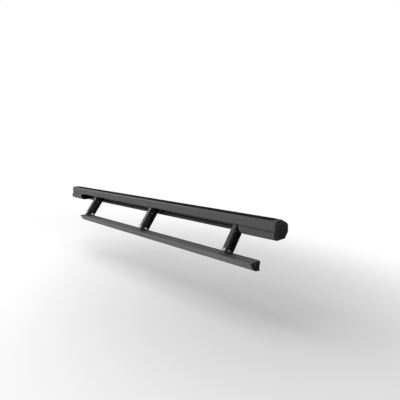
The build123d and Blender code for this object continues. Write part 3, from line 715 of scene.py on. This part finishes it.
def set_in_place(pattern, name, seats, finish, node):
    """Copies of a fitting at their seats, joined into the piece that stands for its CAD node."""
    copies = []
    for place, outward, clocking in seats:
        select_only(pattern)
        bpy.ops.object.duplicate(linked=False)
        copy = bpy.context.object
        turn = facing(outward).to_4x4() @ Matrix.Rotation(clocking, 4, "Z")
        copy.matrix_world = Matrix.Translation(place) @ turn
        copies.append(copy)
    bpy.data.objects.remove(pattern, do_unlink=True)
    select_only(copies[0])
    if len(copies) > 1:
        for copy in copies:
            copy.select_set(True)
        bpy.ops.object.join()
    apply_place()
    piece = bpy.context.object
    piece.name = name
    finish_piece(piece, finish, node)


# Fittings: each stands on +Z with its outer face at height 0, and its profiles list heights and
# radii in millimetres. A size gives the radius of the shank, the radius of the head and its height.


def thread_rings(start, end, radius, fittings):
    """Rings of a threaded length from one height up to another, in millimetres."""
    pitch, depth = fittings.thread_pitch / MM, fittings.thread_depth / MM
    turns = max(1, int((end - start) / pitch))
    step = (end - start) / turns
    rings = []
    for turn in range(turns):
        rings.append((start + turn * step, radius - depth))
        rings.append((start + (turn + 0.5) * step, radius))
    rings.append((end, radius - depth))
    return rings


def shank_rings(length, head_height, radius, fittings):
    """Rings of a threaded shank from its chamfered tip up to the underside of the head."""
    core = radius - fittings.thread_depth / MM
    thread = thread_rings(TIP_CHAMFER - length, -head_height - THREAD_RUNOUT, radius, fittings)
    return [(-length, core * 0.8), *thread, (-head_height, core)]


def hex_block(corner_radius, low, high, chamfer, sides):
    """A hexagon between two heights, its upper corners turned off."""
    block = turned("hexagon", [(low, corner_radius), (high, corner_radius)], 6)
    envelope = [
        (low - 1, corner_radius * 1.1),
        (high - chamfer, corner_radius * 1.01),
        (high + 0.001, corner_radius * 0.88),
    ]
    return combine(block, turned("lathe", envelope, sides), "INTERSECT")


def sink_socket(piece, radius, depth):
    """A hexagonal socket sunk into the outer end of a fitting."""
    socket = turned("socket", [(-depth, radius * 0.55), (-depth + 0.25 * radius, radius), (1.0, radius)], 6)
    return combine(piece, socket, "DIFFERENCE")


def pan_screw(length, size, fittings):
    """Screw with a low rounded head and a socket."""
    shank, head, height = size
    dome = [
        (-height, head),
        (-height * 0.45, head),
        (-height * 0.22, head * 0.95),
        (-height * 0.06, head * 0.84),
        (0.0, head * 0.7),
    ]
    rings = [*shank_rings(length, height, shank, fittings), *dome]
    screw = turned("pan_screw", rings, fittings.turned_sides)
    return sink_socket(screw, head * fittings.socket_share, height * 0.7)


def flanged_bolt(length, size, fittings):
    """Bolt with a hexagonal head over a thin round flange."""
    shank, head, height = size
    flange = [(-height, head), (-height + 0.5, head), (-height + 0.9, head * 0.93)]
    rings = [*shank_rings(length, height, shank, fittings), *flange]
    bolt = turned("flanged_bolt", rings, fittings.turned_sides)
    top = hex_block(head * 0.92, -height + 0.6, 0.0, 0.7, fittings.turned_sides)
    return combine(bolt, top, "UNION")


def hex_bolt(length, size, fittings):
    """Bolt with a chamfered hexagonal head over a thin washer face."""
    shank, head, height = size
    washer, core = head * 0.85, head * 0.6
    face = [(-height, washer), (-height + 0.4, washer), (-height + 0.4, core), (-0.8, core)]
    rings = [*shank_rings(length, height, shank, fittings), *face]
    bolt = turned("hex_bolt", rings, fittings.turned_sides)
    top = hex_block(head, -height + 0.3, 0.0, 0.6, fittings.turned_sides)
    return combine(bolt, top, "UNION")


def hinge_pin(length, fittings):
    """Shoulder pin with a flush countersunk head, a socket and a threaded tail."""
    rings = [
        (-length, 4.1),
        (-length + 0.6, 4.6),
        *thread_rings(-length + 0.8, -length + 3.4, 5.0, fittings),
        (-length + 3.8, 5.0),
        (-3.0, 5.0),
        (-0.35, 7.65),
        (-0.15, 7.9),
        (0.0, 7.7),
    ]
    pin = turned("hinge_pin", rings, fittings.turned_sides)
    return sink_socket(pin, 3.4, 2.2)


def stub_pin(length, fittings):
    """Short pin with a flat round head, chamfered at its rim and dimpled in the middle."""
    rings = [
        (-length, 4.4),
        (-length + 0.6, 5.0),
        (-2.0, 5.0),
        (-2.0, 6.8),
        (-1.8, 7.0),
        (-0.5, 7.0),
        (0.0, 6.5),
        (0.0, 2.6),
        (-0.8, 1.6),
    ]
    return turned("stub_pin", rings, fittings.turned_sides)


def thin_nut(height, fittings):
    """Thin hexagonal nut, chamfered on its outer face and threaded inside."""
    nut = hex_block(7.5, -height, 0.0, 0.8, fittings.turned_sides)
    hollow = [
        (-height - 0.5, 5.3),
        (-height + 0.3, 5.02),
        *thread_rings(-height + 0.4, -0.4, 5.02, fittings),
        (0.5, 5.6),
    ]
    return combine(nut, turned("bore", hollow, fittings.turned_sides), "DIFFERENCE")


class RUNNINGBOARD_OT_end_caps(bpy.types.Operator):
    """Sink a panel into each end cap and leave slanted ribs in its lower corner"""

    bl_idname = "running_board.end_caps"
    bl_label = "End caps"

    def execute(self, context):
        fittings = context.scene.board_fittings
        for end, sign in (("front", -1.0), ("rear", 1.0)):
            node = f"{end}_end_cap"
            low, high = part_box(node)
            face_x = (high if sign > 0 else low)[0]
            cap = self.copy_of(node)
            panel = self.panel_tool(face_x, sign, low[1], high[2], fittings)
            combine(cap, panel, "DIFFERENCE")
            cap.name = f"{end}_panelled_cap"
            finish_piece(cap, "cap_plastic", node)
        return {"FINISHED"}

    def copy_of(self, node):
        """A copy of a CAD piece with its corners merged."""
        select_only(frame["nodes"][node])
        bpy.ops.object.duplicate(linked=False)
        copy = bpy.context.object
        copy.parent = None
        for key in list(copy.keys()):
            if key.startswith("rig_"):
                del copy[key]
        bpy.ops.object.mode_set(mode="EDIT")
        bpy.ops.mesh.select_all(action="SELECT")
        bpy.ops.mesh.remove_doubles(threshold=1e-6)
        bpy.ops.mesh.dissolve_limited(angle_limit=math.radians(0.5))
        bpy.ops.object.mode_set(mode="OBJECT")
        return copy

    def panel_tool(self, face_x, sign, outer_y, top_z, fittings):
        """The solid that is sunk into a cap: the panel's outline without the slanted ribs."""
        deselect()
        bpy.ops.mesh.primitive_circle_add(vertices=len(PANEL), radius=0.05, fill_type="NGON")
        tool = bpy.context.object
        start_x = face_x - sign * fittings.panel_depth
        for vertex, (inboard, down) in zip(tool.data.vertices, PANEL):
            vertex.co = (start_x, outer_y + (PANEL_MARGIN + inboard) * MM, top_z - down * MM)
        bpy.ops.object.mode_set(mode="EDIT")
        bpy.ops.mesh.select_all(action="SELECT")
        outwards = (sign * PANEL_REACH, 0.0, 0.0)
        bpy.ops.mesh.extrude_region_move(TRANSFORM_OT_translate={"value": outwards})
        face_outwards()
        for number in range(RIB_COUNT):
            deselect()
            inboard = RIB_START[0] + RIB_STEP[0] * number
            down = RIB_START[1] + RIB_STEP[1] * number
            middle = Vector((start_x, outer_y + inboard * MM, top_z - down * MM))
            bpy.ops.mesh.primitive_cube_add(size=1.0, location=middle, rotation=(RIB_TILT, 0.0, 0.0))
            rib = bpy.context.object
            rib.scale = (RIB_LENGTH, fittings.rib_width, RIB_LENGTH)
            apply_place()
            combine(tool, rib, "DIFFERENCE")
        return tool


class RUNNINGBOARD_OT_cap_screws(bpy.types.Operator):
    """Model the three pan head screws in each end cap"""

    bl_idname = "running_board.cap_screws"
    bl_label = "End cap screws"

    def execute(self, context):
        fittings = context.scene.board_fittings
        for end, outward in (("front", -REARWARD), ("rear", REARWARD)):
            node = f"{end}_cap_screws"
            seats, length = seats_for(node, lambda middle: outward, clocking=0.35)
            screw = pan_screw(length, CAP_SCREW, fittings)
            set_in_place(screw, f"{end}_cap_pan_screws", seats, "black_zinc", node)
        return {"FINISHED"}


class RUNNINGBOARD_OT_plug_screws(bpy.types.Operator):
    """Model the pan head screws that hold the step bar's end plugs"""

    bl_idname = "running_board.plug_screws"
    bl_label = "Plug screws"

    def execute(self, context):
        node = "step_plug_screws"
        seats, length = seats_for(
            node, lambda middle: REARWARD if middle.x > 0.0 else -REARWARD, clocking=0.5
        )
        screw = pan_screw(length, PLUG_SCREW, context.scene.board_fittings)
        set_in_place(screw, "step_plug_pan_screws", seats, "black_zinc", node)
        return {"FINISHED"}


class RUNNINGBOARD_OT_hinge_pins(bpy.types.Operator):
    """Model the lower hinge pins and their thin nuts"""

    bl_idname = "running_board.hinge_pins"
    bl_label = "Lower hinge pins"

    def execute(self, context):
        fittings = context.scene.board_fittings
        for number, station in enumerate(STATIONS):
            node = f"{station}_lower_pin"
            seats, length = seats_for(node, lambda middle: -SWING_AXIS, clocking=0.3 + 0.4 * number)
            pin = hinge_pin(length, fittings)
            set_in_place(pin, f"{station}_hinge_pin", seats, "grey_zinc", node)
            node = f"{station}_lower_nut"
            seats, height = seats_for(node, lambda middle: SWING_AXIS, clocking=HALF_FLAT)
            nut = thin_nut(height, fittings)
            set_in_place(nut, f"{station}_hinge_nut", seats, "black_zinc", node)
        return {"FINISHED"}


class RUNNINGBOARD_OT_stub_pins(bpy.types.Operator):
    """Model the short upper pins that the arms hang from"""

    bl_idname = "running_board.stub_pins"
    bl_label = "Upper stub pins"

    def execute(self, context):
        fittings = context.scene.board_fittings
        for station in STATIONS:
            node = "rear_upper_pin" if station == "rear" else f"{station}_upper_pins"
            joint = next(row for row in frame["joints"] if row["name"] == f"arm_{station}_swing")
            pivot_y = joint["pos_m"][1]
            seats, length = seats_for(
                node, lambda middle: -SWING_AXIS if middle.y > pivot_y else SWING_AXIS
            )
            pin = stub_pin(length, fittings)
            set_in_place(pin, f"{station}_stub_pins", seats, "black_zinc", node)
        return {"FINISHED"}


class RUNNINGBOARD_OT_stop_screws(bpy.types.Operator):
    """Model the small hexagonal stop screw in each arm"""

    bl_idname = "running_board.stop_screws"
    bl_label = "Stop screws"

    def execute(self, context):
        for station in STATIONS:
            node = f"{station}_stop_screw"
            seats, length = seats_for(node, lambda middle: REARWARD, clocking=math.radians(-7.0))
            screw = hex_bolt(length, STOP_SCREW, context.scene.board_fittings)
            set_in_place(screw, f"{station}_stop_bolt", seats, "dull_zinc", node)
        return {"FINISHED"}


class RUNNINGBOARD_OT_frame_bolts(bpy.types.Operator):
    """Model the flanged bolts of the yokes and the gearbox and the hexagonal bolts of the lugs"""

    bl_idname = "running_board.frame_bolts"
    bl_label = "Yoke, gearbox and lug bolts"

    def execute(self, context):
        for node, outward, clocking, bolt_maker in (
            ("front_bracket_bolts", -UPWARD, 0.45, flanged_bolt),
            ("middle_bracket_bolts", -UPWARD, 0.45, flanged_bolt),
            ("gearbox_bolts", -UPWARD, 0.45, flanged_bolt),
            ("lug_bolts", UPWARD, HALF_FLAT, hex_bolt),
        ):
            seats, length = seats_for(node, lambda middle: outward, clocking)
            bolt = bolt_maker(length, FRAME_BOLT, context.scene.board_fittings)
            set_in_place(bolt, f"{node}_turned", seats, "black_zinc", node)
        return {"FINISHED"}


class RUNNINGBOARD_OT_drive_screws(bpy.types.Operator):
    """Model the screws of the drive cover and of the motor"""

    bl_idname = "running_board.drive_screws"
    bl_label = "Drive screws"

    def execute(self, context):
        for node, outward, size, name in (
            ("gearbox_cover_screws", -SWING_AXIS, COVER_SCREW, "drive_cover_screws"),
            ("motor_screws", REARWARD, MOTOR_SCREW, "motor_long_screws"),
        ):
            seats, length = seats_for(node, lambda middle: outward, clocking=0.6)
            screw = pan_screw(length, size, context.scene.board_fittings)
            set_in_place(screw, name, seats, "black_zinc", node)
        return {"FINISHED"}


class RUNNINGBOARD_OT_lead_gland(bpy.types.Operator):
    """Model the rubber gland with its grooved flange, waisted neck and sealing lips"""

    bl_idname = "running_board.lead_gland"
    bl_label = "Lead gland"

    def execute(self, context):
        sides = context.scene.board_fittings.turned_sides * 2
        node = "lead_gland"
        seats, length = seats_for(node, lambda middle: INBOARD)
        neck = [
            (-length, 8.3), (-length + 0.7, 9.0), (-5.4, 9.0), (-5.1, 8.5), (-4.3, 8.5), (-4.0, 9.0),
            (-1.5, 9.0),
        ]
        flange = [
            (-1.5, 11.8), (-1.3, 12.0), (-0.5, 12.0), (0.0, 11.5), (0.0, 10.1), (-0.6, 9.8), (-0.6, 8.9),
            (0.0, 8.6), (0.0, 7.2), (-0.6, 6.9), (-0.6, 6.0), (0.0, 5.7),
        ]
        bore = [
            (-length - 1, 4.4), (-length + 0.4, 4.4), (-length + 0.8, 4.0), (-5.6, 4.0), (-5.3, 4.5),
            (-4.6, 4.5), (-4.3, 4.0), (-3.3, 4.0), (-3.0, 4.5), (-2.3, 4.5), (-2.0, 4.0), (-0.6, 4.0),
            (0.1, 4.7), (1.0, 4.7),
        ]
        gland = turned("gland", [*neck, *flange], sides)
        combine(gland, turned("bore", bore, sides), "DIFFERENCE")
        set_in_place(gland, "lead_gland_grooved", seats, "strip_rubber", node)
        return {"FINISHED"}


class RUNNINGBOARD_OT_motor(bpy.types.Operator):
    """Model the motor's drawn can with its beads, end bell seam and bearing boss"""

    bl_idname = "running_board.motor"
    bl_label = "Motor"

    def execute(self, context):
        sides = context.scene.board_fittings.turned_sides * 2
        node = "drive_motor"
        seats, length = seats_for(node, lambda middle: REARWARD)
        outline = [(-length, CAN_RADIUS - 0.4), (-length + 0.4, CAN_RADIUS)]
        for along, depth in ((12, 0.5), (62, 0.5), (72, 0.35)):
            groove = along - length
            floor = CAN_RADIUS - depth
            outline += [(groove, CAN_RADIUS), (groove + 0.6, floor)]
            outline += [(groove + 1.6, floor), (groove + 2.2, CAN_RADIUS)]
        outline += [
            (-7.0, CAN_RADIUS), (-5.5, 18.6), (-4.6, 17.8), (-4.1, 16.9), (-4.0, 16.0),
            (-4.0, 8.0), (-0.5, 8.0), (0.0, 7.5), (0.0, 5.2), (-1.2, 4.8),
        ]
        motor = turned("motor", outline, sides)
        place = seats[0][0]
        turn = facing(REARWARD).transposed()
        for screw_place, _, _ in seats_for("motor_screws", lambda middle: REARWARD)[0]:
            across = turn @ (screw_place - place)
            hole = turned("hole", [(-length - 1, 2.0), (1, 2.0)], 24)
            hole.location = (across.x, across.y, 0.0)
            combine(motor, hole, "DIFFERENCE")
        set_in_place(motor, "drive_motor_can", seats, "motor_enamel", node)
        return {"FINISHED"}


class RUNNINGBOARD_OT_stage(bpy.types.Operator):
    """Set the camera, the pale floor and the soft studio light"""

    bl_idname = "running_board.stage"
    bl_label = "Stage"

    def execute(self, context):
        stage = context.scene.board_stage
        deselect()
        bpy.ops.mesh.primitive_plane_add(size=FLOOR_SIZE, location=(0.0, 0.0, stage.floor_level))
        floor = context.object
        floor.name = "studio_floor"
        floor.data.materials.append(self.floor_paint(stage))
        self.light_world(context, stage)
        self.add_lamps()
        self.add_camera(context, stage)
        return {"FINISHED"}

    def seen_directly(self, owner):
        """1 for rays from the camera and from shiny or clear surfaces, else 0."""
        rays = add_node(owner, "ShaderNodeLightPath").outputs
        inputs = {0: rays["Is Camera Ray"], 1: rays["Is Glossy Ray"]}
        either = add_node(owner, "ShaderNodeMath", inputs, operation="MAXIMUM")
        inputs = {0: either.outputs["Value"], 1: rays["Is Transmission Ray"]}
        return add_node(owner, "ShaderNodeMath", inputs, operation="MAXIMUM").outputs["Value"]

    def floor_paint(self, stage):
        """Pale floor that keeps the shadow near the board and fades to the white background around it."""
        paint, shader = new_material("floor_paint")
        links = paint.node_tree.links
        place = object_coordinates(paint)
        mottle = add_node(paint, "ShaderNodeTexNoise", {"Vector": place, "Scale": 3.0}).outputs["Fac"]
        links.new(shaded(paint, mottle, stage.floor_colour, 0.985, 1.0), shader.inputs["Base Color"])
        shader.inputs["Roughness"].default_value = 0.7
        squeezed = add_node(paint, "ShaderNodeMapping", {"Vector": place, "Scale": FLOOR_OVAL})
        inputs = {0: squeezed.outputs["Vector"]}
        distance = add_node(paint, "ShaderNodeVectorMath", inputs, operation="LENGTH").outputs["Value"]
        inputs = {"Value": distance, "From Min": stage.floor_start, "From Max": stage.floor_fade}
        fade = add_node(paint, "ShaderNodeMapRange", inputs, interpolation_type="SMOOTHSTEP")
        inputs = {0: fade.outputs["Result"], 1: self.seen_directly(paint)}
        share = add_node(paint, "ShaderNodeMath", inputs, operation="MULTIPLY")
        white = add_node(paint, "ShaderNodeEmission", {"Color": WHITE, "Strength": 1.0})
        mix = add_node(
            paint,
            "ShaderNodeMixShader",
            {"Fac": share.outputs["Value"], 1: shader.outputs["BSDF"], 2: white.outputs["Emission"]},
        )
        output = next(node for node in paint.node_tree.nodes if node.type == "OUTPUT_MATERIAL")
        links.new(mix.outputs["Shader"], output.inputs["Surface"])
        return paint

    def light_world(self, context, stage):
        """Even light all round, and a white background for the camera and for reflections."""
        world = bpy.data.worlds.new("studio_world")
        context.scene.world = world
        world.use_nodes = True
        world.node_tree.nodes.clear()
        inputs = {"Color": WHITE, "Strength": stage.world_strength}
        light = add_node(world, "ShaderNodeBackground", inputs).outputs["Background"]
        inputs = {"Color": WHITE, "Strength": 1.0}
        shown = add_node(world, "ShaderNodeBackground", inputs).outputs["Background"]
        inputs = {"Fac": self.seen_directly(world), 1: light, 2: shown}
        mix = add_node(world, "ShaderNodeMixShader", inputs)
        add_node(world, "ShaderNodeOutputWorld", {"Surface": mix.outputs["Shader"]})

    def add_lamps(self):
        """Soft lamps over the board, at the front quarter and low outboard, and a card on the floor."""
        for name, place, aim, size, power in (
            ("overhead_softbox", (-1.0, -0.8, 2.9), BOARD_MIDDLE, 2.8, 43.0),
            ("front_softbox", (-2.6, -1.5, 1.4), BOARD_MIDDLE, 1.8, 52.0),
            ("low_softbox", (-0.9, -3.0, 0.3), BOARD_MIDDLE, 1.4, 45.0),
            ("floor_card", (0.7, -0.75, -0.45), (0.7, -0.75, 0.55), 0.9, 3.0),
        ):
            bpy.ops.object.light_add(type="AREA", location=place)
            lamp = bpy.context.object
            lamp.name = name
            lamp.data.shape = "DISK"
            lamp.data.size = size
            lamp.data.energy = power
            direction = Vector(aim) - Vector(place)
            lamp.rotation_euler = direction.to_track_quat("-Z", "Y").to_euler()
            lamp.visible_camera = False

    def add_camera(self, context, stage):
        """The camera, where the photograph's camera stood."""
        pan, tilt = stage.camera_pan, stage.camera_tilt
        level = math.cos(tilt)
        forward = Vector((-math.sin(pan) * level, math.cos(pan) * level, -math.sin(tilt)))
        bpy.ops.object.camera_add(location=stage.camera_place)
        camera = context.object
        camera.name = "photo_camera"
        camera.rotation_euler = forward.to_track_quat("-Z", "Y").to_euler()
        camera.data.sensor_width = SENSOR_WIDTH
        camera.data.lens = stage.lens
        camera.data.clip_end = FAR_SIGHT
        context.scene.camera = camera


class RUNNINGBOARD_PT_panel(bpy.types.Panel):
    """Sidebar panel with the steps and the sizes of the dresser"""

    bl_label = "Running Board"
    bl_idname = "RUNNINGBOARD_PT_panel"
    bl_space_type = "VIEW_3D"
    bl_region_type = "UI"
    bl_category = "Running Board"

    def draw(self, context):
        layout = self.layout
        for operator in OPERATORS:
            layout.operator(operator.bl_idname)
        scene = context.scene
        for group in (scene.board_finish, scene.board_fittings, scene.board_stage):
            for name in group.__annotations__:
                layout.prop(group, name)


OPERATORS = (
    RUNNINGBOARD_OT_finishes,
    RUNNINGBOARD_OT_end_caps,
    RUNNINGBOARD_OT_cap_screws,
    RUNNINGBOARD_OT_plug_screws,
    RUNNINGBOARD_OT_hinge_pins,
    RUNNINGBOARD_OT_stub_pins,
    RUNNINGBOARD_OT_stop_screws,
    RUNNINGBOARD_OT_frame_bolts,
    RUNNINGBOARD_OT_drive_screws,
    RUNNINGBOARD_OT_lead_gland,
    RUNNINGBOARD_OT_motor,
    RUNNINGBOARD_OT_stage,
)
CLASSES = (BoardFinish, BoardFittings, BoardStage, *OPERATORS, RUNNINGBOARD_PT_panel)


def register():
    """Register the classes and hang their settings on the scene."""
    for cls in CLASSES:
        bpy.utils.register_class(cls)
    bpy.types.Scene.board_finish = PointerProperty(type=BoardFinish)
    bpy.types.Scene.board_fittings = PointerProperty(type=BoardFittings)
    bpy.types.Scene.board_stage = PointerProperty(type=BoardStage)


def unregister():
    """Take the settings and the classes away again."""
    del bpy.types.Scene.board_stage
    del bpy.types.Scene.board_fittings
    del bpy.types.Scene.board_finish
    for cls in reversed(CLASSES):
        bpy.utils.unregister_class(cls)


def main():
    register()
    bpy.context.scene.view_settings.view_transform = "Standard"
    bpy.ops.running_board.finishes()
    bpy.ops.running_board.end_caps()
    bpy.ops.running_board.cap_screws()
    bpy.ops.running_board.plug_screws()
    bpy.ops.running_board.hinge_pins()
    bpy.ops.running_board.stub_pins()
    bpy.ops.running_board.stop_screws()
    bpy.ops.running_board.frame_bolts()
    bpy.ops.running_board.drive_screws()
    bpy.ops.running_board.lead_gland()
    bpy.ops.running_board.motor()
    bpy.ops.running_board.stage()


if __name__ == "__main__":
    main()
